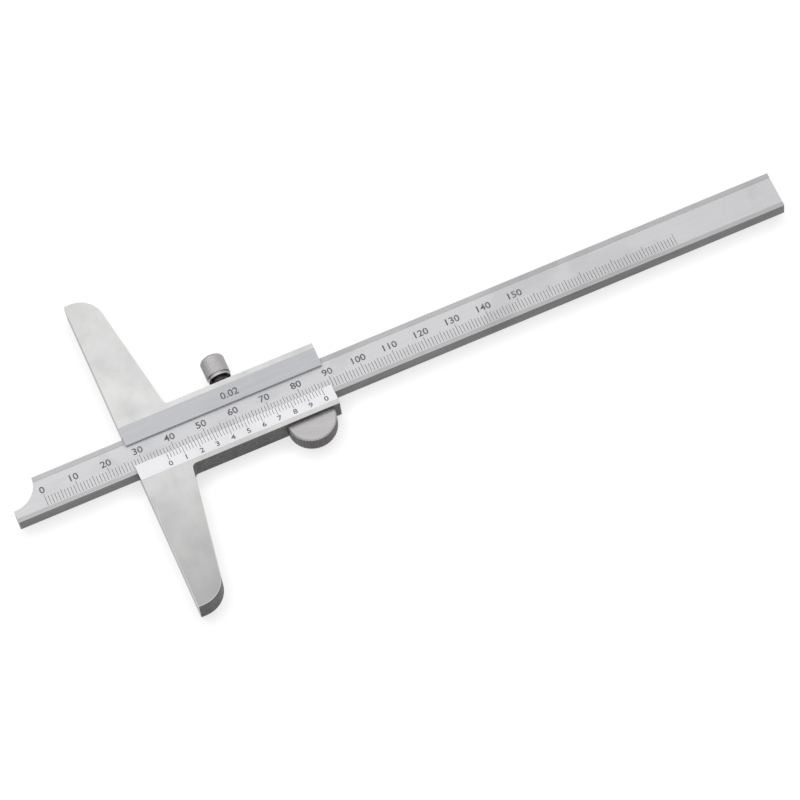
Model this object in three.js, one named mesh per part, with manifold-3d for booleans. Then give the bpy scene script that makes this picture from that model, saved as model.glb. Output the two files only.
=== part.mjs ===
// Vernier depth gauge for depths up to 150 mm, lying on its back with the scale up.
// A T-shaped frame stands across the mouth of a hole and a graduated beam slides down through it.
// +X runs along the beam from its measuring tip to its plain end, +Y points to the lock screw,
// and +Z comes out of the scale face. Lengths are in millimetres.
// While it is built, X = 0 is the frame's measuring face, Y = 0 the middle of the beam,
// and Z = 0 the frame's underside.

import * as THREE from "three";
import { mergeVertices } from "three/addons/utils/BufferGeometryUtils.js";
import Module from "manifold-3d";

// Beam: a flat ground bar with a shallow satin scale face between two rails.
const beamLength = 244;
const beamWidth = 12;
const beamThickness = 4.6;
const upperRailWidth = 1.6;
const lowerRailWidth = 1.3;
const scaleFaceDepth = 0.1;
const tipWidth = 4; // the flat end that touches the bottom of the hole
const tipArcInset = 0.5; // how far the hollow's centre lies behind the tip
const reading = 37.3; // how far the tip stands out of the base as it lies

// Frame: base and slider in one piece.
const frameThickness = 7.6;
const baseLength = 107;
const wingRootWidth = 15.4;
const wingTaperDegrees = 9.1;
const wingTipRadius = 8;
const wingRootFillet = 1.4;
const sliderLength = 62;
const upperWallWidth = 3.9; // from the gib's channel to the lock screw's side
const lowerWallWidth = 4.65; // from the beam's channel to the thumb rest's side
const webThickness = 1.4; // the wall under the beam
const slideClearance = 0.05; // between the beam and its channel
const upperLandWidth = 1.7;
const upperLipReach = 2.5; // how far the upper lip covers the beam
const upperLipEdge = 0.6;
const vernierReach = 2.55; // how far the vernier covers the beam
const vernierEdge = 0.15;
const lowerLandWidth = 1.5;

// Gib: a leaf between the beam and the upper wall, set by two slotted grub screws.
const gibThickness = 0.5;
const gibHeight = 3.6;
const gibEndMargin = 3; // from each end of the slider
const gibChannelDepth = 1; // room for the gib beside the beam
const grubInset = 13; // from each end of the slider to a grub screw
const grubRadius = 1.25;
const grubSunk = 0.5; // below the wall it is screwed into
const grubSlotWidth = 0.45;
const grubSlotDepth = 0.8;

// Lock screw with its brass shoe.
const lockOffset = 2.4; // behind the middle of the slider
const lockStudRadius = 1.5;
const lockCollarRadius = 2.4;
const lockCollarLength = 0.9;
const lockHeadRadius = 3.7;
const lockHeadLength = 7.8;
const lockHeadGap = 2.3; // from the wall to the head
const lockRingRadius = 3.45;
const lockRingLength = 0.8;
const lockDomeHeight = 1.1;
const knurlRidges = 48;
const knurlDepth = 0.18;
const knurlEndTaper = 0.3;
const shoeRadius = 1.3;
const shoeThickness = 1;
const shoeStemRadius = 0.6;
const shoeStemLength = 0.8;

// Thumb rest: a half-round piece held in a slot by two pins.
const thumbInset = 9.4; // from the slider's rear end to the middle of the rest
const thumbRadius = 7.5;
const thumbThickness = 6;
const thumbRibs = 26;
const thumbRibDepth = 0.22;
const tongueWidth = 13;
const tongueLength = 3.1;
const thumbPinRadius = 0.75;
const thumbPinSpacing = 8;
const thumbPinGrip = 0.8; // how far a pin reaches into the lip above
const thumbPinSunk = 0.15;

// Beam stop: a low round-headed screw in the beam's back. Placed there, it meets the slider's
// rear end when the gauge reads 150 mm.
const stopInset = 30.45; // from the beam's plain end
const stopHeadRadius = 1.5;
const stopHeadHeight = 0.95;
const stopStemRadius = 0.8;
const stopStemLength = 2;
const stopHeadFillet = 0.25;

// Shared fits and facets.
const seatGap = 0.05; // between pieces that sit in or against each other
const overrun = 1; // how far a cutting shape runs past the face it cuts
const roundSides = 32;
const arcSteps = 14;

// Sizes worked out from the ones above.
const beamFloor = webThickness + slideClearance;
const beamTop = beamFloor + beamThickness;
const beamMiddle = (beamFloor + beamTop) / 2;
const beamHalf = beamWidth / 2;
const channelLower = -beamHalf - slideClearance;
const channelUpper = beamHalf + gibChannelDepth;
const channelTop = beamTop + slideClearance;
const sliderUpper = channelUpper + upperWallWidth;
const sliderLower = channelLower - lowerWallWidth;
const tipX = -reading;
const stopX = tipX + beamLength - stopInset;
const lockPlace = sliderLength / 2 + lockOffset;
const thumbPlace = sliderLength - thumbInset;
const gibOuter = beamHalf + slideClearance + gibThickness;

const wasm = await Module();
wasm.setup();

// A closed three.js geometry as a manifold-3d solid, without the slivers that poles leave.
function solidOf(geometry) {
  const bare = geometry.index ? geometry.toNonIndexed() : geometry.clone();
  bare.deleteAttribute("normal");
  bare.deleteAttribute("uv");
  const merged = mergeVertices(bare, 1e-4);
  const corners = [];
  const index = merged.index.array;
  for (let i = 0; i < index.length; i += 3) {
    const [a, b, c] = index.subarray(i, i + 3);
    if (a !== b && b !== c && c !== a) corners.push(a, b, c);
  }
  return new wasm.Manifold(
    new wasm.Mesh({
      numProp: 3,
      vertProperties: merged.attributes.position.array,
      triVerts: new Uint32Array(corners),
    }),
  );
}

// A manifold-3d solid as a flat-shaded mesh with a name and a finish.
function meshOf(name, solid, finish) {
  const made = solid.getMesh();
  const geometry = new THREE.BufferGeometry()
    .setAttribute("position", new THREE.BufferAttribute(made.vertProperties, made.numProp))
    .setIndex(new THREE.BufferAttribute(made.triVerts, 1))
    .toNonIndexed();
  geometry.computeVertexNormals();
  const mesh = new THREE.Mesh(geometry, finish);
  mesh.name = name;
  return mesh;
}

const shapeOf = (points) => new THREE.Shape(points.map(([x, y]) => new THREE.Vector2(x, y)));

// A prism of a plan outline, standing on a level.
function plate(points, bottom, top) {
  const geometry = new THREE.ExtrudeGeometry(shapeOf(points), {
    depth: top - bottom,
    bevelEnabled: false,
  });
  return solidOf(geometry.translate(0, 0, bottom));
}

// A prism along X whose outline is given as [y, z] points.
function bar(points, start, end) {
  const geometry = new THREE.ExtrudeGeometry(shapeOf(points), {
    depth: end - start,
    bevelEnabled: false,
  });
  const alongX = new THREE.Matrix4().makeBasis(
    new THREE.Vector3(0, 1, 0),
    new THREE.Vector3(0, 0, 1),
    new THREE.Vector3(1, 0, 0),
  );
  return solidOf(geometry.applyMatrix4(alongX).translate(start, 0, 0));
}

function block(x0, x1, y0, y1, z0, z1) {
  const geometry = new THREE.BoxGeometry(x1 - x0, y1 - y0, z1 - z0);
  return solidOf(geometry.translate((x0 + x1) / 2, (y0 + y1) / 2, (z0 + z1) / 2));
}

// A turned piece about the Y axis, from [radius, y] points that start and end on the axis.
const turning = (points, sides = roundSides) =>
  new THREE.LatheGeometry(points.map(([r, y]) => new THREE.Vector2(r, y)), sides);

const rod = (radius, start, end) =>
  turning([[0, start], [radius, start], [radius, end], [0, end]]);

const rodAlongY = (radius, x, y0, y1, z) => solidOf(rod(radius, y0, y1).translate(x, 0, z));

const rodAlongZ = (radius, x, y, z0, z1) =>
  solidOf(rod(radius, z0, z1).rotateX(Math.PI / 2).translate(x, y, 0));

// Points of an arc, both ends included.
function arc(cx, cy, radius, from, to, steps = arcSteps) {
  return Array.from({ length: steps + 1 }, (_, i) => {
    const angle = from + ((to - from) * i) / steps;
    return [cx + radius * Math.cos(angle), cy + radius * Math.sin(angle)];
  });
}

// One wing's outline for y > 0: from its measuring corner round the tip to the slider's side,
// which lies at the given y. The tip's arc and the root's fillet both touch the tapered back edge.
function wing(side) {
  const taper = THREE.MathUtils.degToRad(wingTaperDegrees);
  const end = baseLength / 2;
  const reach = Math.cos(taper) * wingRootWidth + Math.sin(taper) * side;
  const touching = (y, offset) => (reach + offset - Math.sin(taper) * y) / Math.cos(taper);
  const tipY = end - wingTipRadius;
  const filletY = side + wingRootFillet;
  return [
    [0, end],
    ...arc(touching(tipY, -wingTipRadius), tipY, wingTipRadius, Math.PI / 2, taper),
    ...arc(touching(filletY, wingRootFillet), filletY, wingRootFillet, Math.PI + taper, Math.PI * 1.5),
  ];
}

// The frame: the T-shaped plate, less the channel for the beam and gib, the window between the
// two bevels, the tapped holes, and the slot and pin holes of the thumb rest.
function makeFrame() {
  const outline = [
    ...wing(-sliderLower).map(([x, y]) => [x, -y]),
    [sliderLength, sliderLower],
    [sliderLength, sliderUpper],
    ...wing(sliderUpper).reverse(),
  ];
  const upperLand = sliderUpper - upperLandWidth;
  const lowerLand = sliderLower + lowerLandWidth;
  const lipY = beamHalf - upperLipReach;
  const vernierY = -beamHalf + vernierReach;
  const opening = [
    [lowerLand, frameThickness],
    [vernierY, channelTop + vernierEdge],
    [vernierY, channelTop],
    [channelLower, channelTop],
    [channelLower, webThickness],
    [channelUpper, webThickness],
    [channelUpper, channelTop],
    [lipY, channelTop],
    [lipY, channelTop + upperLipEdge],
    [upperLand, frameThickness],
    [upperLand, frameThickness + overrun],
    [lowerLand, frameThickness + overrun],
  ];
  const wallEnd = sliderUpper + overrun;
  const slotTop = thumbThickness + seatGap;
  const slotHalf = tongueWidth / 2 + seatGap;
  const slotFloor = sliderLower + tongueLength + seatGap;
  let frame = plate(outline, 0, frameThickness)
    .subtract(bar(opening, -overrun, sliderLength + overrun))
    .subtract(rodAlongY(lockStudRadius + seatGap, lockPlace, channelUpper - seatGap, wallEnd, beamMiddle))
    .subtract(
      block(
        thumbPlace - slotHalf,
        thumbPlace + slotHalf,
        sliderLower - overrun,
        slotFloor,
        -overrun,
        slotTop,
      ),
    );
  for (const x of grubPlaces())
    frame = frame.subtract(
      rodAlongY(grubRadius + seatGap, x, channelUpper - seatGap, wallEnd, beamMiddle),
    );
  for (const x of pinPlaces())
    frame = frame.subtract(
      rodAlongZ(thumbPinRadius + seatGap, x, pinY(), -overrun, slotTop + thumbPinGrip + seatGap),
    );
  return frame;
}

// The beam: rails and scale face run the whole length, and a quarter-round hollow is cut
// from the upper edge down to the narrow measuring tip.
function makeBeam() {
  const faceUpper = beamHalf - upperRailWidth;
  const faceLower = -beamHalf + lowerRailWidth;
  const face = beamTop - scaleFaceDepth;
  const section = [
    [-beamHalf, beamFloor],
    [beamHalf, beamFloor],
    [beamHalf, beamTop],
    [faceUpper, beamTop],
    [faceUpper, face],
    [faceLower, face],
    [faceLower, beamTop],
    [-beamHalf, beamTop],
  ];
  const hollow = arc(tipX + tipArcInset, beamHalf, beamWidth - tipWidth, 0, Math.PI * 2, 4 * arcSteps);
  hollow.pop();
  return bar(section, tipX, tipX + beamLength)
    .subtract(plate(hollow, beamFloor - overrun, beamTop + overrun))
    .subtract(
      rodAlongZ(
        stopStemRadius + seatGap,
        stopX,
        0,
        beamFloor - overrun,
        beamFloor + stopStemLength + seatGap,
      ),
    );
}

// The stop screw's head hangs under the beam, clear of the surface that the frame lies on.
function makeBeamStop() {
  const seat = beamFloor - seatGap;
  const low = seat - stopHeadHeight;
  const screw = turning([
    [0, low],
    [stopHeadRadius - stopHeadFillet, low],
    [stopHeadRadius, low + stopHeadFillet],
    [stopHeadRadius, seat],
    [stopStemRadius, seat],
    [stopStemRadius, beamFloor + stopStemLength],
    [0, beamFloor + stopStemLength],
  ]);
  return solidOf(screw.rotateX(Math.PI / 2).translate(stopX, 0, 0));
}

function makeGib() {
  const half = gibHeight / 2;
  return block(
    gibEndMargin,
    sliderLength - gibEndMargin,
    beamHalf + slideClearance,
    gibOuter,
    beamMiddle - half,
    beamMiddle + half,
  );
}

const grubPlaces = () => [grubInset, sliderLength - grubInset];

// A grub screw reaches from the gib to just under the wall's face and has a driver slot.
function makeGrub(x) {
  const head = sliderUpper - grubSunk;
  const half = grubSlotWidth / 2;
  const reach = grubRadius + overrun;
  return rodAlongY(grubRadius, x, gibOuter + seatGap, head, beamMiddle).subtract(
    block(x - half, x + half, head - grubSlotDepth, head + overrun, beamMiddle - reach, beamMiddle + reach),
  );
}

// The shoe lies on the gib and its stem turns freely in the screw's end.
const shoeInner = gibOuter + seatGap;
const shoeOuter = shoeInner + shoeThickness;

function makeShoe() {
  const shoe = turning([
    [0, shoeInner],
    [shoeRadius, shoeInner],
    [shoeRadius, shoeOuter],
    [shoeStemRadius, shoeOuter],
    [shoeStemRadius, shoeOuter + shoeStemLength],
    [0, shoeOuter + shoeStemLength],
  ]);
  return solidOf(shoe.translate(lockPlace, 0, beamMiddle));
}

// The lock screw: hollow end, stud, collar, plain ring, knurled grip and domed end.
// The knurl is made by drawing every second column of the grip's points towards the axis.
function makeLockScrew() {
  const studEnd = shoeOuter + seatGap;
  const socketEnd = shoeOuter + shoeStemLength + seatGap;
  const headLow = sliderUpper + lockHeadGap;
  const ringTop = headLow + lockRingLength;
  const headTop = headLow + lockHeadLength;
  const domeFoot = headTop - lockDomeHeight;
  const grip = [
    [lockHeadRadius, ringTop + knurlEndTaper],
    [lockHeadRadius, domeFoot],
  ];
  const points = [
    [0, socketEnd],
    [shoeStemRadius + seatGap, socketEnd],
    [shoeStemRadius + seatGap, studEnd],
    [lockStudRadius, studEnd],
    [lockStudRadius, headLow - lockCollarLength],
    [lockCollarRadius, headLow - lockCollarLength],
    [lockCollarRadius, headLow],
    [lockRingRadius, headLow],
    [lockRingRadius, ringTop],
    ...grip,
    ...domeShares.map(([r, h]) => [lockHeadRadius * r, domeFoot + lockDomeHeight * h]),
  ];
  const columns = 2 * knurlRidges;
  const screw = turning(points, columns);
  const place = screw.attributes.position;
  const firstGrip = points.indexOf(grip[0]);
  const draw = (lockHeadRadius - knurlDepth) / lockHeadRadius;
  for (let column = 1; column < columns; column += 2)
    for (let row = firstGrip; row < firstGrip + grip.length; row++) {
      const i = column * points.length + row;
      place.setXYZ(i, place.getX(i) * draw, place.getY(i), place.getZ(i) * draw);
    }
  return solidOf(screw.translate(lockPlace, 0, beamMiddle));
}

// The dome's profile as shares of the head's radius and of the dome's height.
const domeShares = [
  [0.9, 0.3],
  [0.7, 0.68],
  [0.4, 0.92],
  [0, 1],
];

const pinY = () => sliderLower + tongueLength / 2;
const pinPlaces = () => [thumbPlace - thumbPinSpacing / 2, thumbPlace + thumbPinSpacing / 2];

// The thumb rest: a tongue in the frame's slot and a half disc with a ribbed rim outside it.
function makeThumbRest() {
  const seat = sliderLower - seatGap;
  const inner = sliderLower + tongueLength;
  const half = tongueWidth / 2;
  const rim = [];
  const steps = 2 * thumbRibs;
  for (let i = 0; i <= steps; i++) {
    const angle = Math.PI * (1 + i / steps);
    const radius = i % 2 ? thumbRadius - thumbRibDepth : thumbRadius;
    rim.push([thumbPlace + radius * Math.cos(angle), seat + radius * Math.sin(angle)]);
  }
  const outline = [
    [thumbPlace - half, inner],
    [thumbPlace - half, seat],
    ...rim,
    [thumbPlace + half, seat],
    [thumbPlace + half, inner],
  ];
  let rest = plate(outline, 0, thumbThickness);
  for (const x of pinPlaces())
    rest = rest.subtract(
      rodAlongZ(thumbPinRadius + seatGap, x, pinY(), -overrun, thumbThickness + overrun),
    );
  return rest;
}

const makeThumbPin = (x) =>
  rodAlongZ(thumbPinRadius, x, pinY(), thumbPinSunk, thumbThickness + seatGap + thumbPinGrip);

// Finishes.
const groundSteel = new THREE.MeshStandardMaterial({ color: 0xc4c5c4, roughness: 0.42, metalness: 1 });
const satinSteel = new THREE.MeshStandardMaterial({ color: 0xcfd1d6, roughness: 0.5, metalness: 1 });
const knurledSteel = new THREE.MeshStandardMaterial({ color: 0xa7a29f, roughness: 0.38, metalness: 1 });
const blackSteel = new THREE.MeshStandardMaterial({ color: 0x4a4a4c, roughness: 0.55, metalness: 0.9 });
const springSteel = new THREE.MeshStandardMaterial({ color: 0x8d8f93, roughness: 0.35, metalness: 1 });
const brass = new THREE.MeshStandardMaterial({ color: 0xc9a24e, roughness: 0.4, metalness: 1 });

const [grubFront, grubRear] = grubPlaces();
const [pinFront, pinRear] = pinPlaces();

const frameGroup = new THREE.Group();
frameGroup.add(
  meshOf("frame", makeFrame(), groundSteel),
  meshOf("gib_spring", makeGib(), springSteel),
  meshOf("gib_set_screw_front", makeGrub(grubFront), blackSteel),
  meshOf("gib_set_screw_rear", makeGrub(grubRear), blackSteel),
  meshOf("thumb_rest", makeThumbRest(), knurledSteel),
  meshOf("thumb_rest_pin_front", makeThumbPin(pinFront), groundSteel),
  meshOf("thumb_rest_pin_rear", makeThumbPin(pinRear), groundSteel),
);

const beamGroup = new THREE.Group();
beamGroup.add(
  meshOf("beam", makeBeam(), satinSteel),
  meshOf("beam_stop_screw", makeBeamStop(), blackSteel),
);

const lockGroup = new THREE.Group();
lockGroup.add(
  meshOf("lock_screw", makeLockScrew(), knurledSteel),
  meshOf("lock_shoe", makeShoe(), brass),
);

// The part's origin is under the middle of the whole gauge, on the surface that it lies on.
const gauge = new THREE.Group();
gauge.add(frameGroup, beamGroup, lockGroup);
gauge.position.x = -(tipX + beamLength / 2);

export default gauge;
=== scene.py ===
# Vernier depth gauge, lying on its back with the scale up. The sections follow the order in
# which the gauge is put together. Lengths in them are in millimetres unless they say otherwise.
import math

import bmesh
import bpy
import numpy as np
from mathutils import Matrix, Vector


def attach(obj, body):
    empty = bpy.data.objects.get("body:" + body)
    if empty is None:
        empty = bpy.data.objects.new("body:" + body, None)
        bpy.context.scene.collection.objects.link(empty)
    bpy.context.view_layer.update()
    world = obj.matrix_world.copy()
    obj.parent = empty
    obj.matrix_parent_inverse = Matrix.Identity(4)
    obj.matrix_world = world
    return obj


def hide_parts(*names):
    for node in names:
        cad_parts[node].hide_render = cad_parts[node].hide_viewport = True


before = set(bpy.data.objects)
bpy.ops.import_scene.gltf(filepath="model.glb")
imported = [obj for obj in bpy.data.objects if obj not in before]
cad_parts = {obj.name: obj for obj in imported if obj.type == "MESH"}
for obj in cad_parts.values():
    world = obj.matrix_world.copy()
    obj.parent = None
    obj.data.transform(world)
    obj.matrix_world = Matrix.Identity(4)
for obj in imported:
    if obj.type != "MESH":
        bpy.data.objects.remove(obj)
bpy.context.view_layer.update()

# Frame. The base, its two tapered wings, the slider and the vernier are ground from one blank of
# steel. The wings are ground along their length, the long bevel above the beam along the slider,
# and the vernier bevel is satin chromed. The edges are eased on a stone.
mm = 0.001
measuring_x = -84.7
frame_top = 7.6
bevel_lip = (3.5, 6.7)
bevel_top = (9.2, 7.6)
vernier_lip = (-3.45, 6.25)
vernier_top = (-9.2, 7.6)
bevels_low = 6.2
channel_half = 7.1
lands_inside = 9.25
outer_walls = 10
rest_x = -32.1
rest_slot_half = 6.8
frame_ease = 0.16
touching = 0.01
near = 0.1
upright_share = 0.9
corner_degrees = 35
ease_degrees = 60


def joined(tree, kind, links, **settings):
    """A node of one kind with its settings made, and its inputs linked or given a value."""
    node = tree.nodes.new("ShaderNode" + kind)
    for name, value in settings.items():
        setattr(node, name, value)
    for name, source in links.items():
        if isinstance(source, bpy.types.NodeSocket):
            tree.links.new(source, node.inputs[name])
        else:
            node.inputs[name].default_value = source
    return node


def reckoned(tree, operation, *terms, clamp=False):
    """The result of a Math node. Its terms are numbers or outputs, in the order of its inputs."""
    links = dict(enumerate(terms))
    return joined(tree, "Math", links, operation=operation, use_clamp=clamp).outputs[0]


def remapped(tree, value, low, high, least, most, curve="LINEAR"):
    """A value that runs from low to high, made to run from least to most."""
    links = {"Value": value, "From Min": low, "From Max": high, "To Min": least, "To Max": most}
    return joined(tree, "MapRange", links, interpolation_type=curve).outputs[0]


def noise(tree, place, scale, detail, roughness=0.5, distortion=0.0):
    """Noise that wanders round one half, finer as its scale grows."""
    links = {"Vector": place, "Scale": scale, "Detail": detail}
    links |= {"Roughness": roughness, "Distortion": distortion}
    return joined(tree, "TexNoise", links).outputs[0]


def stretched(tree, place, scale, slant=0.0):
    """The place with its three directions scaled, after a turn about Z by the slant."""
    links = {"Vector": place, "Rotation": (0, 0, slant), "Scale": scale}
    return joined(tree, "Mapping", links).outputs[0]


def shaded(tree, color, share):
    """A colour made lighter or darker: each of its channels times the share."""
    return joined(tree, "VectorMath", {0: color, "Scale": share}, operation="SCALE").outputs[0]


def new_group(name, inputs, outputs):
    """A node group with its named inputs, each with a kind and a value, and its named outputs.
    Also gives the sockets on which the inputs come in and those that take the results."""
    group = bpy.data.node_groups.new(name, "ShaderNodeTree")
    for socket, kind, value in inputs:
        made = group.interface.new_socket(
            name=socket, in_out="INPUT", socket_type="NodeSocket" + kind
        )
        made.default_value = value
    for socket, kind in outputs:
        group.interface.new_socket(name=socket, in_out="OUTPUT", socket_type="NodeSocket" + kind)
    given = group.nodes.new("NodeGroupInput").outputs
    result = group.nodes.new("NodeGroupOutput").inputs
    return group, given, result


def make_ground_grain():
    """Marks of a grinding wheel: noise drawn out along X, in fine lines and in broader bands, over
    slow clouds. They shift the colour, the roughness and, as a bump, the normal."""
    group, given, result = new_group(
        "ground_grain",
        [
            ("Vector", "Vector", (0, 0, 0)),
            ("Color", "Color", (0.6, 0.6, 0.6, 1)),
            ("Roughness", "Float", 0.4),
            ("Lines", "Float", 0.2),
            ("Clouds", "Float", 0.1),
            ("Depth", "Float", 4e-6),
        ],
        [("Color", "Color"), ("Roughness", "Float"), ("Normal", "Vector")],
    )
    fine = noise(group, stretched(group, given["Vector"], (260, 5200, 5200)), 1, 4, 0.62)
    broad = noise(group, stretched(group, given["Vector"], (45, 900, 900)), 1, 3)
    marks = reckoned(group, "ADD", fine, broad)
    line_tone = reckoned(group, "MULTIPLY", reckoned(group, "SUBTRACT", marks, 1.0), given["Lines"])
    drift = reckoned(group, "SUBTRACT", noise(group, given["Vector"], 130, 4), 0.5)
    cloud_tone = reckoned(group, "MULTIPLY", drift, given["Clouds"])
    share = reckoned(group, "ADD", reckoned(group, "ADD", line_tone, cloud_tone), 1.0)
    worn = reckoned(group, "MULTIPLY_ADD", line_tone, -0.9, given["Roughness"], clamp=True)
    bump = joined(group, "Bump", {"Height": marks, "Distance": given["Depth"], "Strength": 1})
    group.links.new(shaded(group, given["Color"], share), result["Color"])
    group.links.new(worn, result["Roughness"])
    group.links.new(bump.outputs[0], result["Normal"])
    return group


def make_handling():
    """Traces of use: a thin film of finger marks where slow noise is high, which dulls and darkens,
    and sparse hairline scratches where noise drawn out on a slant is highest, which lighten."""
    group, given, result = new_group(
        "handling",
        [
            ("Vector", "Vector", (0, 0, 0)),
            ("Color", "Color", (0.6, 0.6, 0.6, 1)),
            ("Roughness", "Float", 0.4),
            ("Film", "Float", 0.06),
            ("Scratches", "Float", 0.1),
        ],
        [("Color", "Color"), ("Roughness", "Float")],
    )
    touches = noise(group, given["Vector"], 48, 5, distortion=0.8)
    film = remapped(group, touches, 0.48, 0.68, 0.0, given["Film"], "SMOOTHSTEP")
    hairs = noise(group, stretched(group, given["Vector"], (90, 4200, 4200), 0.62), 1, 1)
    hair = remapped(group, hairs, 0.7, 0.76, 0.0, given["Scratches"], "SMOOTHSTEP")
    change = reckoned(group, "SUBTRACT", hair, film)
    share = reckoned(group, "MULTIPLY_ADD", change, 0.6, 1.0)
    dulled = reckoned(group, "ADD", given["Roughness"], film)
    group.links.new(shaded(group, given["Color"], share), result["Color"])
    group.links.new(dulled, result["Roughness"])
    return group


ground_grain = make_ground_grain()
handling = make_handling()


def steel(name, color, roughness, turn=(0, 0, 0), lines=0.2, clouds=0.1, depth=4e-6):
    """Bare metal with ground lines along X, turned by the given angles, and traces of use. The
    depth of the lines is in metres."""
    finish = bpy.data.materials.new(name)
    finish.use_nodes = True
    tree = finish.node_tree
    shader = tree.nodes["Principled BSDF"]
    place = joined(tree, "TexCoord", {}).outputs["Object"]
    turned_place = joined(tree, "Mapping", {"Vector": place, "Rotation": turn}).outputs[0]
    links = {"Vector": turned_place, "Color": (*color, 1), "Roughness": roughness}
    links |= {"Lines": lines, "Clouds": clouds, "Depth": depth}
    grain = joined(tree, "Group", links, node_tree=ground_grain).outputs
    links = {"Vector": place, "Color": grain["Color"], "Roughness": grain["Roughness"]}
    links |= {"Film": 0.06, "Scratches": 0.1}
    use = joined(tree, "Group", links, node_tree=handling).outputs
    tree.links.new(use["Color"], shader.inputs["Base Color"])
    tree.links.new(use["Roughness"], shader.inputs["Roughness"])
    tree.links.new(grain["Normal"], shader.inputs["Normal"])
    shader.inputs["Metallic"].default_value = 1
    finish.diffuse_color = (*color, 1)
    return finish


def read_array(items, name, width, kind=float):
    """One property of a mesh's elements as an array with one row for each element."""
    values = np.zeros(len(items) * width, kind)
    items.foreach_get(name, values)
    return values.reshape(-1, width) if width > 1 else values


def whole_faces(node):
    """A copy of a node's mesh in which doubled corners are one and level triangles are one face."""
    doubled = 2e-6
    level = math.radians(0.6)
    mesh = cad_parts[node].data.copy()
    work = bmesh.new()
    work.from_mesh(mesh)
    bmesh.ops.remove_doubles(work, verts=work.verts, dist=doubled)
    bmesh.ops.dissolve_limit(work, angle_limit=level, verts=work.verts, edges=work.edges)
    work.to_mesh(mesh)
    work.free()
    mesh.materials.clear()
    return mesh


def turn_at_edges(mesh):
    """The angle by which a closed surface turns at each edge, from the normals of the two faces
    that meet there."""
    normals = read_array(mesh.polygons, "normal", 3)
    corners = read_array(mesh.polygons, "loop_total", 1, int)
    face = np.repeat(np.arange(len(corners)), corners)
    edge = read_array(mesh.loops, "edge_index", 1, int)
    order = np.argsort(edge, kind="stable")
    pairs = face[order].reshape(-1, 2)
    level = np.sum(normals[pairs[:, 0]] * normals[pairs[:, 1]], axis=1)
    return np.arccos(np.clip(level, -1, 1))


def placed(name, shape):
    """An object in the scene, at the origin, that shows a shape."""
    piece = bpy.data.objects.new(name, shape)
    bpy.context.scene.collection.objects.link(piece)
    return piece


def eased_piece(name, node, finishes, width, choose=None, smooth=8):
    """The node's shape with its sharp outer edges rounded by a small bevel. choose takes the ends
    of the edges in millimetres and says which of them are eased. The last finish is on the bevel.
    Faces that turn by less than smooth degrees are shaded as one round surface, and the normals
    lean to the larger faces, so that a flat one stays flat up to its eased edge."""
    mesh = whole_faces(node)
    mesh.name = name
    for finish in finishes:
        mesh.materials.append(finish)
    turns = turn_at_edges(mesh)
    eased = turns > math.radians(corner_degrees)
    if choose is not None:
        corners = read_array(mesh.vertices, "co", 3) / mm
        ends = corners[read_array(mesh.edges, "vertices", 2, int)]
        eased &= choose(ends[:, 0], ends[:, 1])
    weight = mesh.attributes.new("bevel_weight_edge", "FLOAT", "EDGE")
    weight.data.foreach_set("value", eased.astype(np.float32))
    mesh.shade_smooth()
    mesh.edges.foreach_set("use_edge_sharp", (turns > math.radians(smooth)) & ~eased)
    piece = placed(name, mesh)
    bevel = piece.modifiers.new("eased edges", "BEVEL")
    bevel.limit_method = "WEIGHT"
    bevel.width = width * mm
    bevel.segments = 2
    bevel.use_clamp_overlap = False
    bevel.material = len(finishes) - 1
    graph = bpy.context.evaluated_depsgraph_get()
    piece.data = bpy.data.meshes.new_from_object(piece.evaluated_get(graph))
    piece.modifiers.clear()
    sharp = read_array(piece.data.edges, "use_edge_sharp", 1, bool)
    sharp |= turn_at_edges(piece.data) > math.radians(ease_degrees)
    piece.data.edges.foreach_set("use_edge_sharp", sharp)
    level = piece.modifiers.new("level faces", "WEIGHTED_NORMAL")
    level.mode = "FACE_AREA"
    level.weight = 100
    level.keep_sharp = True
    return piece


def finish_faces(piece, surface):
    """Gives each face the finish of its number, apart from the faces of the eased edges."""
    given = read_array(piece.data.polygons, "material_index", 1, int)
    last = len(piece.data.materials) - 1
    chosen = np.where(given == last, last, surface).astype(np.int32)
    piece.data.polygons.foreach_set("material_index", chosen)


def frame_outline(a, b):
    """The frame's outer edges: those round its back and its top, apart from the channel and the
    slot of the thumb rest, and its upright corners on the wings and the slider's sides."""
    low = (a[:, 2] < touching) & (b[:, 2] < touching)
    high = (a[:, 2] > frame_top - touching) & (b[:, 2] > frame_top - touching)
    inside = (np.abs(a[:, 1]) < lands_inside) & (np.abs(b[:, 1]) < lands_inside)
    from_rest = np.maximum(np.abs(a[:, 0] - rest_x), np.abs(b[:, 0] - rest_x))
    slot = (from_rest < rest_slot_half) & (a[:, 1] < 0)
    upright = np.abs(a[:, 2] - b[:, 2]) > upright_share * frame_top
    return ((low | high) & ~inside & ~slot) | (upright & (np.abs(a[:, 1]) > outer_walls))


quarter = math.pi / 2
along_y = (0, 0, quarter)
wing_steel = steel(
    "wing_steel", (0.4, 0.396, 0.395), 0.2, turn=along_y, lines=0.03, clouds=0.3, depth=4e-7
)
bevel_steel = steel("bevel_steel", (0.48, 0.488, 0.508), 0.4, lines=0.15, clouds=0.06)
vernier_chrome = steel(
    "vernier_chrome", (0.74, 0.74, 0.757), 0.5, lines=0.06, clouds=0.06, depth=2e-6
)
# Painted shade: the frame's side faces get a near-black base colour that stands in for the shade
# they are in, not a darker finish of the steel.
shaded_side_steel = steel("shaded_side_steel", (0.13, 0.127, 0.127), 0.55, turn=along_y, lines=0.4, clouds=0.25)
lapped_steel = steel("lapped_steel", (0.3, 0.3, 0.3), 0.3, turn=along_y, lines=0.16, clouds=0.1)
milled_steel = steel("milled_steel", (0.33, 0.33, 0.34), 0.45, lines=0.4, clouds=0.2, depth=8e-6)
stoned_edge = steel("stoned_edge", (0.6, 0.6, 0.59), 0.34, lines=0.1, clouds=0.05)

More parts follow.
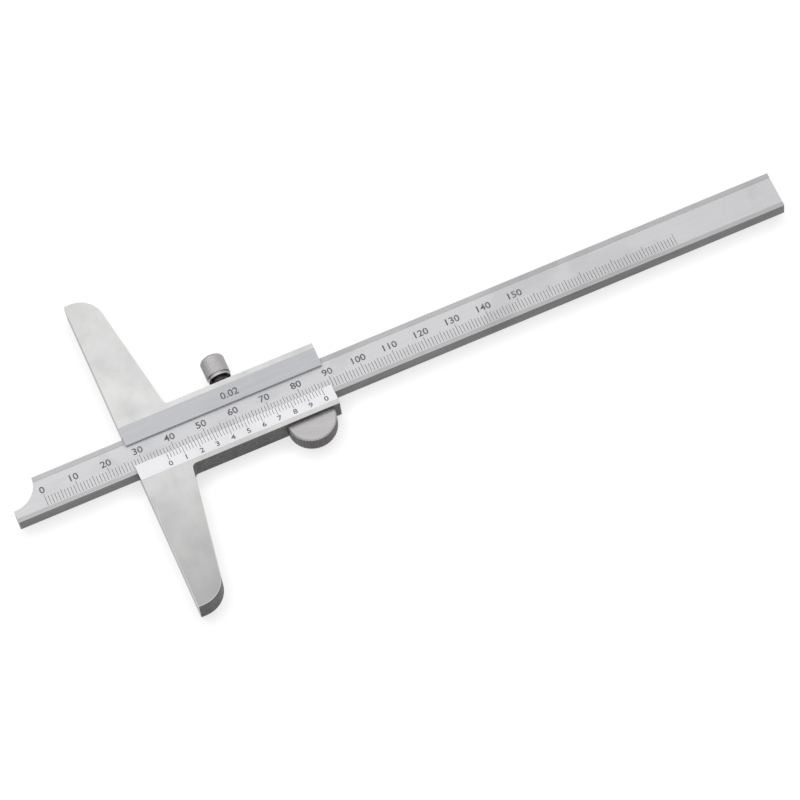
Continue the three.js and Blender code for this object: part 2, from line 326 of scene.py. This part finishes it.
frame_finishes = [wing_steel, bevel_steel, vernier_chrome, shaded_side_steel, lapped_steel, milled_steel]
on_wings, on_bevel, on_vernier, on_sides, on_front, in_channel = range(len(frame_finishes))
frame_piece = eased_piece(
    "frame_ground", "frame", frame_finishes + [stoned_edge], frame_ease, frame_outline
)
centres = read_array(frame_piece.data.polygons, "center", 3) / mm
facing = read_array(frame_piece.data.polygons, "normal", 3)
below_top = centres[:, 2] < frame_top - 2 * touching
sloped = (facing[:, 2] > 0.9) & (centres[:, 2] > bevels_low) & below_top
lip = (np.abs(centres[:, 1] - bevel_lip[0]) < near) & (centres[:, 2] > bevels_low - 2 * near)
front = (facing[:, 0] < -0.99) & (centres[:, 0] < measuring_x + touching)
regions = [
    (sloped & (centres[:, 1] > 0)) | lip,
    sloped & (centres[:, 1] < 0),
    np.abs(facing[:, 2]) > 0.99,
    front,
]
# Every face not sorted otherwise, the sides among them, takes the dark side finish, which is
# painted shade.
surface = np.select(regions, [on_bevel, on_vernier, on_wings, on_front], on_sides)
beside_beam = (np.abs(centres[:, 1]) < channel_half) & (np.abs(facing[:, 0]) < 0.5)
inside_frame = (centres[:, 2] > near) & (centres[:, 2] < bevels_low)
finish_faces(frame_piece, np.where(beside_beam & inside_frame, in_channel, surface))
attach(frame_piece, "frame")
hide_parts("frame")

# Vernier divisions. Fifty spaces over 49 mm are cut into the satin bevel and filled with black
# paint, with a number at every fifth line. The reading step is marked on the bevel above the beam.
vernier_zero_x = -74.8
vernier_spaces = 50
vernier_pitch = 0.98
vernier_line_head = -3.5
vernier_line_foot = -5.6
vernier_fifth_foot = -6.35
vernier_number_y = -7.6
vernier_number_height = 1.8
step_x = -50.9
step_y = 6.2
large_number_height = 2.2
line_width = 0.16
paint_stand = 0.012
numeral_widening = 1.1
stroke_gain = 0.016


def fill_paint(name, color):
    """Black paint in a cut line, thinned in places so that the steel shows through a little."""
    finish = bpy.data.materials.new(name)
    finish.use_nodes = True
    tree = finish.node_tree
    shader = tree.nodes["Principled BSDF"]
    place = joined(tree, "TexCoord", {}).outputs["Object"]
    thin = remapped(tree, noise(tree, place, 900, 3), 0.45, 0.8, 0.0, 0.35)
    worn_tone = (0.45, 0.45, 0.45, 1)
    mixed = joined(tree, "Mix", {0: thin, 6: (*color, 1), 7: worn_tone}, data_type="RGBA")
    tree.links.new(mixed.outputs[2], shader.inputs["Base Color"])
    shader.inputs["Roughness"].default_value = 0.6
    finish.diffuse_color = (*color, 1)
    return finish


def slope_level(lip, top, y):
    """Height on a bevel at y: a straight line from its lip to its top, each given by y and z."""
    return lip[1] + (top[1] - lip[1]) / (top[0] - lip[0]) * (y - lip[0])


def vernier_level(y):
    """Height of the vernier bevel at y."""
    return slope_level(vernier_lip, vernier_top, y)


def bevel_level(y):
    """Height of the bevel above the beam at y."""
    return slope_level(bevel_lip, bevel_top, y)


def cut_lines(x, low, high, width, level):
    """Painted lines as closed flat boxes, eight corners to each. A line's corners lie at its x plus
    or minus half the width, at its low and high ends in y, and just under and over the surface."""
    x, low, high = np.broadcast_arrays(x, low, high)
    side = np.array([-1, 1, 1, -1, -1, 1, 1, -1]) * width / 2
    end = np.array([0, 0, 1, 1, 0, 0, 1, 1])
    stand = np.array([-1, -1, -1, -1, 1, 1, 1, 1]) * paint_stand
    across = x[:, None] + side
    along = np.where(end, high[:, None], low[:, None])
    corners = np.stack([across, along, level(along) + stand], axis=-1).reshape(-1, 3)
    box = [[3, 2, 1, 0], [4, 5, 6, 7], [0, 1, 5, 4], [1, 2, 6, 5], [2, 3, 7, 6], [3, 0, 4, 7]]
    faces = (np.array(box) + 8 * np.arange(len(x))[:, None, None]).reshape(-1, 4)
    return corners, faces.tolist()


def flat_number(word):
    """Corners and faces of a number in a plain sans face, about one unit high and a hair thick."""
    curve = bpy.data.curves.new("number", "FONT")
    curve.body = word
    curve.extrude = 0.01
    curve.offset = stroke_gain
    curve.resolution_u = 3
    curve.align_x = "CENTER"
    sketch = placed("number", curve)
    graph = bpy.context.evaluated_depsgraph_get()
    solid = bpy.data.meshes.new_from_object(sketch.evaluated_get(graph))
    corners = read_array(solid.vertices, "co", 3)
    faces = [list(face.vertices) for face in solid.polygons]
    bpy.data.objects.remove(sketch)
    bpy.data.curves.remove(curve)
    bpy.data.meshes.remove(solid)
    return corners, faces


def numerals(words, x, y, height, level):
    """Numbers, each centred on its x and y. Each is scaled to its height, drawn a little wider,
    lifted by the surface's level, and stands just over the surface."""
    corners = []
    faces = []
    count = 0
    for word, centre in zip(words, x):
        points, number_faces = flat_number(word)
        low = points[:, 1].min()
        tall = points[:, 1].max() - low
        middle = (points[:, 0].min() + points[:, 0].max()) / 2
        flat_x = centre + (points[:, 0] - middle) * height / tall * numeral_widening
        flat_y = y + (points[:, 1] - low - tall / 2) * height / tall
        stand = np.sign(points[:, 2]) * paint_stand
        corners.append(np.stack([flat_x, flat_y, level(flat_y) + stand], axis=-1))
        faces += [[count + i for i in face] for face in number_faces]
        count += len(points)
    return np.concatenate(corners), faces


def solid_piece(name, corners, faces, finishes, sharp=corner_degrees):
    """An object at the origin from corners in millimetres and faces, all turned outwards."""
    doubled = 2e-7
    mesh = bpy.data.meshes.new(name)
    mesh.from_pydata(np.asarray(corners) * mm, [], faces)
    work = bmesh.new()
    work.from_mesh(mesh)
    bmesh.ops.remove_doubles(work, verts=work.verts, dist=doubled)
    bmesh.ops.recalc_face_normals(work, faces=work.faces)
    work.to_mesh(mesh)
    work.free()
    mesh.shade_smooth()
    mesh.set_sharp_from_angle(angle=math.radians(sharp))
    for finish in finishes:
        mesh.materials.append(finish)
    return placed(name, mesh)


black_fill = fill_paint("black_fill", (0.095, 0.095, 0.1))
division = np.arange(vernier_spaces + 1)
vernier_x = vernier_zero_x + vernier_pitch * division
vernier_foot = np.where(division % 5 == 0, vernier_fifth_foot, vernier_line_foot)
line_corners, line_faces = cut_lines(
    vernier_x, vernier_foot, vernier_line_head, line_width, vernier_level
)
vernier_lines = solid_piece("vernier_lines", line_corners, line_faces, [black_fill])
vernier_words = [str(fifth % 10) for fifth in range(len(vernier_x[::5]))]
number_corners, number_faces = numerals(
    vernier_words, vernier_x[::5], vernier_number_y, vernier_number_height, vernier_level
)
vernier_numbers = solid_piece("vernier_numbers", number_corners, number_faces, [black_fill])
step_corners, step_faces = numerals(
    ["0.02"], [step_x], step_y, large_number_height, bevel_level
)
reading_step = solid_piece("reading_step", step_corners, step_faces, [black_fill])
for marking in (vernier_lines, vernier_numbers, reading_step):
    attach(marking, "frame")

# Thumb rest. A half-round piece of turned steel with a ribbed rim and chamfered edges stands out
# under the slider's lower side. Its tongue sits in a slot of the frame on two ground pins.
rest_seat = -10.75
rest_radius = 7.5
rest_top = 6.0
rest_ribs = 26
rib_depth = 0.13
rib_run_out = 0.1
rest_chamfer = 0.4
tongue_half = 6.5
tongue_end = -7.6
pin_y = -9.15
pin_half_gap = 4
pin_radius = 0.75
pin_foot = 0.15
pin_head = 6.85
pin_chamfer = 0.12
pin_clearance = 0.05
bore_chamfer = 0.1
overrun = 1


def rest_surface(points_per_rib):
    """The rim's points run round half a circle, with ribs as a cosine of the angle, and then round
    the tongue. Each level up the rest repeats them, drawn in by the chamfer at the two faces."""
    angle = np.linspace(math.pi, 2 * math.pi, rest_ribs * points_per_rib + 1)
    ribs = rib_depth * (1 - np.abs(np.cos(rest_ribs * (angle - math.pi))))
    rising = np.array([0.0, rest_chamfer, rest_chamfer + rib_run_out])
    levels = np.concatenate([rising, rest_top - rising[::-1]])
    inset = np.array([rest_chamfer, rib_run_out, 0, 0, rib_run_out, rest_chamfer])
    ribbed = np.array([0, 0, 1, 1, 0, 0])
    radius = rest_radius - inset[:, None] - ribbed[:, None] * ribs[None, :]
    rim_x = rest_x + radius * np.cos(angle)
    rim_y = rest_seat + radius * np.sin(angle)
    tongue_x = rest_x + np.array([tongue_half, tongue_half, -tongue_half, -tongue_half])
    tongue_y = np.array([rest_seat, tongue_end, tongue_end, rest_seat])
    rows = len(levels)
    x = np.hstack([rim_x, np.tile(tongue_x, (rows, 1))])
    y = np.hstack([rim_y, np.tile(tongue_y, (rows, 1))])
    z = np.repeat(levels[:, None], x.shape[1], axis=1)
    return np.stack([x, y, z], axis=-1)


def wrapped_faces(rows, columns):
    """Four-cornered faces of a grid whose last column meets its first."""
    row, column = np.meshgrid(np.arange(rows - 1), np.arange(columns), indexing="ij")
    after = (column + 1) % columns
    corners = [row * columns + column, row * columns + after]
    corners += [(row + 1) * columns + after, (row + 1) * columns + column]
    return np.stack(corners, axis=-1).reshape(-1, 4).tolist()


def closed_ends(points):
    """Corners and faces of a wrapped grid with a flat face over each end."""
    rows, columns = points.shape[:2]
    faces = wrapped_faces(rows, columns)
    faces.append(list(range(columns - 1, -1, -1)))
    faces.append(list(range((rows - 1) * columns, rows * columns)))
    return points.reshape(-1, 3), faces


def turned_surface(profile, sides, shape=None):
    """A profile of [radius, height] rows carried round an axis: x and z are the radius times the
    cosine and sine of the angle, and y is the height. shape may change the radii by angle."""
    radius, height = np.asarray(profile, float).T
    angle = np.linspace(0, 2 * math.pi, sides, endpoint=False)
    radii = np.repeat(radius[:, None], sides, axis=1)
    if shape is not None:
        radii = shape(radii, angle)
    x = radii * np.cos(angle)
    z = radii * np.sin(angle)
    y = np.repeat(height[:, None], sides, axis=1)
    return np.stack([x, y, z], axis=-1)


def standing_surface(profile, sides):
    """A turned surface that stands along Z: its y and z change places."""
    return turned_surface(profile, sides)[..., [0, 2, 1]]


def pin_surface(radius, low, high, chamfer):
    """A round pin standing along Z with a chamfer at each end."""
    profile = [[radius - chamfer, low], [radius, low + chamfer], [radius, high - chamfer]]
    profile.append([radius - chamfer, high])
    return standing_surface(profile, 40)


def cut_from(piece, cutters):
    """Cuts closed surfaces out of a piece and keeps the result as its mesh."""
    tools = []
    for corners, faces in cutters:
        tool = solid_piece("cutter", corners, faces, piece.data.materials[:])
        cut = piece.modifiers.new("cut", "BOOLEAN")
        cut.object = tool
        cut.solver = "EXACT"
        tools.append(tool)
    graph = bpy.context.evaluated_depsgraph_get()
    result = bpy.data.meshes.new_from_object(piece.evaluated_get(graph))
    piece.modifiers.clear()
    piece.data = result
    result.set_sharp_from_angle(angle=math.radians(corner_degrees))
    for tool in tools:
        bpy.data.objects.remove(tool)


rest_steel = steel(
    "rest_steel", (0.44, 0.428, 0.428), 0.45, turn=(0, 0, 0.3), lines=0.14, clouds=0.16
)
# Painted shade: the ribbed rim gets a near-black base colour that stands in for the shade it is in.
shaded_rim_steel = steel(
    "shaded_rim_steel", (0.11, 0.105, 0.105), 0.45, turn=(0, quarter, 0), lines=0.3, clouds=0.2
)
pin_steel = steel("pin_steel", (0.6, 0.6, 0.59), 0.3, lines=0.12, clouds=0.06)
rest_corners, rest_faces = closed_ends(rest_surface(8))
thumb_piece = solid_piece("thumb_rest_turned", rest_corners, rest_faces, [rest_steel, shaded_rim_steel])
pin_x = (rest_x - pin_half_gap, rest_x + pin_half_gap)
bore = pin_surface(pin_radius + pin_clearance, -overrun, rest_top + overrun, bore_chamfer)
cut_from(thumb_piece, [closed_ends(bore + [x, pin_y, 0]) for x in pin_x])
# The upright rim faces take the rim finish with its painted shade, and the flat faces take the
# turned top.
rest_normals = read_array(thumb_piece.data.polygons, "normal", 3)
rim_faces = np.abs(rest_normals[:, 2]) < 0.3
thumb_piece.data.polygons.foreach_set("material_index", rim_faces.astype(np.int32))
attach(thumb_piece, "frame")
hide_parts("thumb_rest")
pin = pin_surface(pin_radius, pin_foot, pin_head, pin_chamfer)
for side, x in zip(("front", "rear"), pin_x):
    pin_corners, pin_faces = closed_ends(pin + [x, pin_y, 0])
    pin_piece = solid_piece("rest_pin_" + side, pin_corners, pin_faces, [pin_steel])
    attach(pin_piece, "frame")
    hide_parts("thumb_rest_pin_" + side)

# Gib and its two grub screws. The gib is a leaf of rolled spring steel between the beam and the
# slider's upper wall. The slotted grub screws in that wall, blackened, press it lightly.
fine_ease = 0.08
spring_steel = steel("spring_steel", (0.4, 0.42, 0.46), 0.34, lines=0.2, clouds=0.15)
grub_black = steel(
    "grub_black", (0.1, 0.1, 0.11), 0.42, turn=(quarter, 0, 0), lines=0.3, clouds=0.3
)
gib_piece = eased_piece("gib_leaf", "gib_spring", [spring_steel, spring_steel], fine_ease)
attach(gib_piece, "frame")
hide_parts("gib_spring")
for side in ("front", "rear"):
    grub_node = "gib_set_screw_" + side
    grub_piece = eased_piece(
        "grub_" + side, grub_node, [grub_black, grub_black], fine_ease, smooth=15
    )
    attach(grub_piece, "frame")
    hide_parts(grub_node)

# Beam. A flat bar of steel, ground all over, with a shallow satin chromed scale face between two
# ground rails and a quarter-round hollow down to its narrow measuring tip.
beam_floor = 1.45
beam_top = 6.05
scale_face = 5.95
beam_half = 6.0
rails_inside = 5.5
stop_x = 91.55
stop_bore_reach = 1.5


def beam_outline(a, b):
    """The beam's outer edges: those round its back, apart from the stop screw's bore, along its two
    long upper corners, and up its ends."""
    back = (a[:, 2] < beam_floor + touching) & (b[:, 2] < beam_floor + touching)
    bore = np.hypot(a[:, 0] - stop_x, a[:, 1]) < stop_bore_reach
    top = (a[:, 2] > beam_top - touching) & (b[:, 2] > beam_top - touching)
    outer = (np.abs(a[:, 1]) > beam_half - near) & (np.abs(b[:, 1]) > beam_half - near)
    upright = np.abs(a[:, 2] - b[:, 2]) > upright_share * (beam_top - beam_floor)
    return (back & ~bore) | (top & outer) | upright


satin_chrome = steel(
    "satin_chrome", (0.595, 0.595, 0.612), 0.58, lines=0.04, clouds=0.05, depth=1e-6
)
rail_steel = steel("rail_steel", (0.47, 0.466, 0.47), 0.58, lines=0.08, clouds=0.12)
# Painted shade: the beam's side and end faces get a dark base colour that stands in for the shade
# they are in.
shaded_beam_side = steel("shaded_beam_side", (0.19, 0.19, 0.19), 0.5, lines=0.25, clouds=0.2)
beam_back = steel("beam_back", (0.55, 0.55, 0.54), 0.38, lines=0.3, clouds=0.2)
beam_finishes = [satin_chrome, rail_steel, shaded_beam_side, beam_back]
on_scale, on_rails, on_sides, on_back = range(len(beam_finishes))
beam_piece = eased_piece(
    "beam_ground", "beam", beam_finishes + [stoned_edge], fine_ease, beam_outline
)
centres = read_array(beam_piece.data.polygons, "center", 3) / mm
facing = read_array(beam_piece.data.polygons, "normal", 3)
up_the_step = (centres[:, 2] > scale_face) & (centres[:, 2] < beam_top - 2 * touching)
regions = [
    (facing[:, 2] > 0.9) & (centres[:, 2] < (scale_face + beam_top) / 2),
    up_the_step & (np.abs(centres[:, 1]) < rails_inside),
    facing[:, 2] > 0.9,
    facing[:, 2] < -0.9,
]
# Faces not sorted otherwise, the sides and ends among them, take the dark side finish, which is
# painted shade.
finish_faces(beam_piece, np.select(regions, [on_scale, on_scale, on_rails, on_back], on_sides))
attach(beam_piece, "beam")
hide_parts("beam")

# Main scale. Millimetre lines are cut into the scale face and filled with black paint, longer at
# every fifth and longest at every tenth, with a number at every tenth up to the full 150 mm.
scale_zero_x = -112.1
scale_lines = 201
last_number = 150
line_foot = -4.4
line_head = -1.46
fifth_head = -1.0
tenth_head = -0.57
scale_number_y = 1.0


def scale_level(y):
    """The scale face is level, so its height is the same at every y."""
    return scale_face + 0 * y


step = np.arange(scale_lines)
fifth_or_less = np.where(step % 5 == 0, fifth_head, line_head)
line_heads = np.where(step % 10 == 0, tenth_head, fifth_or_less)
line_corners, line_faces = cut_lines(
    scale_zero_x + step, line_foot, line_heads, line_width, scale_level
)
main_lines = solid_piece("main_scale_lines", line_corners, line_faces, [black_fill])
tens = np.arange(0, last_number + 1, 10)
tens_words = [str(ten) for ten in tens]
number_corners, number_faces = numerals(
    tens_words, scale_zero_x + tens, scale_number_y, large_number_height, scale_level
)
main_numbers = solid_piece("main_scale_numbers", number_corners, number_faces, [black_fill])
for marking in (main_lines, main_numbers):
    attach(marking, "beam")

# Beam stop. A low round-headed screw of blackened steel is driven into the beam's back near its
# plain end, and meets the slider at full reading. Its head has a driver slot.
stop_seat = 1.4
stop_low = 0.45
stop_head_radius = 1.5
stop_stem_radius = 0.8
driver_reach = 2
driver_half = 0.2
driver_depth = 0.4
stop_profile = [
    [0.7, stop_low],
    [1.2, stop_low + 0.03],
    [1.42, stop_low + 0.16],
    [stop_head_radius, stop_low + 0.36],
    [stop_head_radius, stop_seat],
    [stop_stem_radius, stop_seat],
    [stop_stem_radius, 3.35],
    [0.72, 3.45],
]
stop_black = steel("stop_black", (0.12, 0.12, 0.13), 0.4, lines=0.2, clouds=0.3, depth=2e-6)
stop_corners, stop_faces = closed_ends(standing_surface(stop_profile, 48) + [stop_x, 0, 0])
stop_piece = solid_piece("beam_stop_turned", stop_corners, stop_faces, [stop_black])
driver_corners = np.array([[-1, -1, 0], [1, -1, 0], [1, 1, 0], [-1, 1, 0]])
driver_low = driver_corners * [driver_reach, driver_half, 1] + [stop_x, 0, -overrun]
driver_high = driver_low + [0, 0, overrun + stop_low + driver_depth]
cut_from(stop_piece, [closed_ends(np.stack([driver_low, driver_high]))])
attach(stop_piece, "beam")
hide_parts("beam_stop_screw")

# Lock shoe. A turned brass pad between the lock screw's end and the gib. Its stem turns freely in
# the screw, so that the pad stays still on the gib while the screw turns.
lock_x = -51.3
lock_z = 3.75
shoe_low = 6.6
shoe_radius = 1.3
shoe_stem_radius = 0.6
shoe_profile = [
    [shoe_radius - 0.1, shoe_low],
    [shoe_radius, shoe_low + 0.1],
    [shoe_radius, shoe_low + 0.9],
    [shoe_radius - 0.1, shoe_low + 1.0],
    [shoe_stem_radius, shoe_low + 1.0],
    [shoe_stem_radius, shoe_low + 1.72],
    [0.52, shoe_low + 1.8],
]
shoe_brass = steel("shoe_brass", (0.7, 0.49, 0.19), 0.34, turn=along_y, lines=0.2, clouds=0.1)
shoe_corners, shoe_faces = closed_ends(turned_surface(shoe_profile, 48) + [lock_x, 0, lock_z])
shoe_piece = solid_piece("lock_shoe_turned", shoe_corners, shoe_faces, [shoe_brass])
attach(shoe_piece, "lock_shoe")
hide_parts("lock_shoe")

# Lock screw. Turned steel with a fine straight knurl, a domed end and a plain ring at its foot.
# The head is hollowed round its collar, and the threaded stud runs through the slider's wall.
head_foot = 13.2
head_top = 21.0
head_radius = 3.7
stud_foot = 7.65
stud_radius = 1.5
stem_bore_radius = 0.65
stem_bore_end = 8.45
collar_foot = head_foot - 0.9
collar_radius = 2.4
hollow_end = head_foot + 0.6
hollow_radius = 3.22
ring_radius = 3.45
ring_top = head_foot + 0.8
neck_radius = 3.36
dome_foot = head_top - 1.1
dome_flat = 0.4
dome_reach = 3.1
centre_hole = 0.05
knurl_ridges = 48
knurl_depth = 0.06
knurl_run_out = 0.1
dome = np.linspace(0, quarter, 9)[:-1]
dome_radius = dome_flat + dome_reach * np.cos(dome) ** 0.8
screw_profile = np.vstack(
    [
        [[centre_hole, stem_bore_end], [stem_bore_radius, stem_bore_end]],
        [[stem_bore_radius, stud_foot], [stud_radius - 0.1, stud_foot]],
        [[stud_radius, stud_foot + 0.15], [stud_radius, collar_foot]],
        [[collar_radius - 0.1, collar_foot], [collar_radius, collar_foot + 0.1]],
        [[collar_radius, hollow_end], [hollow_radius - 0.12, hollow_end]],
        [[hollow_radius, head_foot + 0.06], [hollow_radius + 0.15, head_foot]],
        [[ring_radius, head_foot + 0.1], [ring_radius, ring_top - 0.08]],
        [[neck_radius, ring_top], [neck_radius, ring_top + 0.12]],
        [[head_radius - 0.18, ring_top + 0.2], [head_radius, ring_top + 0.4]],
        [[head_radius, dome_foot - 0.1]],
        np.stack([dome_radius, dome_foot + 0.1 + np.sin(dome)], axis=-1),
        [[centre_hole, head_top]],
    ]
)


def knurl(radii, angle):
    """Draws the grip in between its ridges by a rectified sine of the angle, only where the
    profile has its full radius, so that the ridges run out at the ring and at the dome."""
    full = np.clip((radii - (head_radius - knurl_run_out - 0.05)) / knurl_run_out, 0, 1)
    return radii - full * knurl_depth * (1 - np.abs(np.cos(knurl_ridges * angle / 2)))


knurl_steel = steel(
    "knurl_steel", (0.4, 0.39, 0.39), 0.38, turn=along_y, lines=0.04, clouds=0.12, depth=1e-6
)
# Painted shade: the hollow round the collar gets a near-black base colour that stands in for the
# shade in the recess under the head.
shaded_hollow_steel = steel("shaded_hollow_steel", (0.08, 0.08, 0.08), 0.5, turn=along_y, lines=0.2, clouds=0.1)
screw_points = turned_surface(screw_profile, knurl_ridges * 8, knurl) + [lock_x, 0, lock_z]
screw_corners, screw_faces = closed_ends(screw_points)
screw_piece = solid_piece(
    "lock_screw_turned", screw_corners, screw_faces, [knurl_steel, shaded_hollow_steel], sharp=28
)
# Faces in the hollow round the collar take the painted shade of the hollow finish.
screw_centres = read_array(screw_piece.data.polygons, "center", 3) / mm
from_axis = np.hypot(screw_centres[:, 0] - lock_x, screw_centres[:, 2] - lock_z)
in_hollow = (from_axis > collar_radius - 0.05) & (from_axis < hollow_radius + 0.03)
hollowed = in_hollow & (screw_centres[:, 1] < hollow_end + 0.02)
screw_piece.data.polygons.foreach_set("material_index", hollowed.astype(np.int32))
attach(screw_piece, "lock_screw")
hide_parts("lock_screw")

# Table. A plain pale sweep that the gauge lies on, white to the camera and in the metal. Close
# round the gauge its glow is dimmed by ambient occlusion, more on the side away from the soft box:
# a painted contact shadow over a faint real one. It lies a fiftieth of a millimetre under the
# gauge, so that no two faces share one plane.
table_half = 3000
table_level = -0.02
glow_share = 0.93
painted_shadow_reach = 6 * mm
painted_shadow_side = (0.0, 0.8, 0.6)
table_corners = np.array([[-1, -1, 0], [1, -1, 0], [1, 1, 0], [-1, 1, 0]]) * table_half
table_corners = table_corners + [0, 0, table_level]
table_mesh = bpy.data.meshes.new("table")
table_mesh.from_pydata(table_corners * mm, [], [[0, 1, 2, 3]])
table = placed("table", table_mesh)
paper = bpy.data.materials.new("paper")
paper.use_nodes = True
paper.cycles.emission_sampling = "NONE"
paper_tree = paper.node_tree
paper_shader = paper_tree.nodes["Principled BSDF"]
paper_shader.inputs["Roughness"].default_value = 0.9
paper_shader.inputs["Specular IOR Level"].default_value = 0.1
paper_place = joined(paper_tree, "TexCoord", {}).outputs["Object"]
paper_tone = remapped(paper_tree, noise(paper_tree, paper_place, 700, 3), 0.3, 0.7, 0.58, 0.6)
paper_tree.links.new(paper_tone, paper_shader.inputs["Base Color"])
ray = joined(paper_tree, "LightPath", {}).outputs
mirrored = reckoned(paper_tree, "ADD", ray["Is Glossy Ray"], ray["Is Transmission Ray"])
seen = reckoned(paper_tree, "ADD", ray["Is Camera Ray"], mirrored, clamp=True)
white_share = reckoned(paper_tree, "MULTIPLY", seen, glow_share)
open_side = joined(paper_tree, "CombineXYZ", dict(enumerate(painted_shadow_side))).outputs[0]
openness = joined(
    paper_tree, "AmbientOcclusion", {"Distance": painted_shadow_reach, "Normal": open_side}, samples=16
)
# Painted contact shadow: the glow dims where the gauge hides the sky from the table, as seen from a
# side tilted toward the back.
painted_contact_shadow = remapped(paper_tree, openness.outputs["AO"], 0.25, 0.82, 0.78, 1.05)
glow = joined(paper_tree, "Emission", {"Color": (1, 1, 1, 1), "Strength": painted_contact_shadow})
paper_mix = joined(
    paper_tree, "MixShader", {0: white_share, 1: paper_shader.outputs[0], 2: glow.outputs[0]}
)
paper_tree.links.new(
    paper_mix.outputs[0], paper_tree.nodes["Material Output"].inputs["Surface"]
)
table_mesh.materials.append(paper)

# Studio light. The surround is an even white. One soft box hangs over the table behind the gauge
# and faces straight down, and its reflection brightens the wings and the slider's flat faces. Its
# places and size are in metres.
box_place = (-0.12, 0.23, 0.35)
box_aim = (-0.12, 0.23, 0.0)
box_size = (0.51, 0.18)
box_power = 0.27
surround = bpy.data.worlds.new("surround")
surround.use_nodes = True
sky = surround.node_tree.nodes["Background"]
sky.inputs["Color"].default_value = (1, 1, 1, 1)
sky.inputs["Strength"].default_value = 1
bpy.context.scene.world = surround
soft_box = bpy.data.lights.new("back_box", "AREA")
soft_box.shape = "RECTANGLE"
soft_box.size, soft_box.size_y = box_size
soft_box.energy = box_power
box_holder = placed("back_box", soft_box)
box_holder.location = box_place
box_turn = (Vector(box_aim) - Vector(box_place)).to_track_quat("-Z", "Y")
box_holder.rotation_euler = box_turn.to_euler()
box_holder.visible_camera = False

# Camera. It looks down on the gauge from its lower left through a long lens, at the photograph's
# viewing angle. Its angles are turned from degrees, and its place is in metres.
camera_azimuth = math.radians(-14.809)
camera_height = math.radians(62.912)
camera_roll = math.radians(-9.354)
camera_place = Vector((-0.15538, -0.58021, 1.14572))
focal_length = 198
film_width = 36
lens = bpy.data.cameras.new("camera")
lens.lens = focal_length
lens.sensor_width = film_width
camera = placed("camera", lens)
level_reach = math.cos(camera_height)
behind = Vector(
    (
        math.sin(camera_azimuth) * level_reach,
        -math.cos(camera_azimuth) * level_reach,
        math.sin(camera_height),
    )
)
rightward = Vector((math.cos(camera_azimuth), math.sin(camera_azimuth), 0))
aimed = Matrix((rightward, behind.cross(rightward), behind)).transposed().to_4x4()
camera.matrix_world = (
    Matrix.Translation(camera_place) @ aimed @ Matrix.Rotation(camera_roll, 4, "Z")
)
bpy.context.scene.camera = camera
bpy.context.scene.view_settings.view_transform = "Standard"
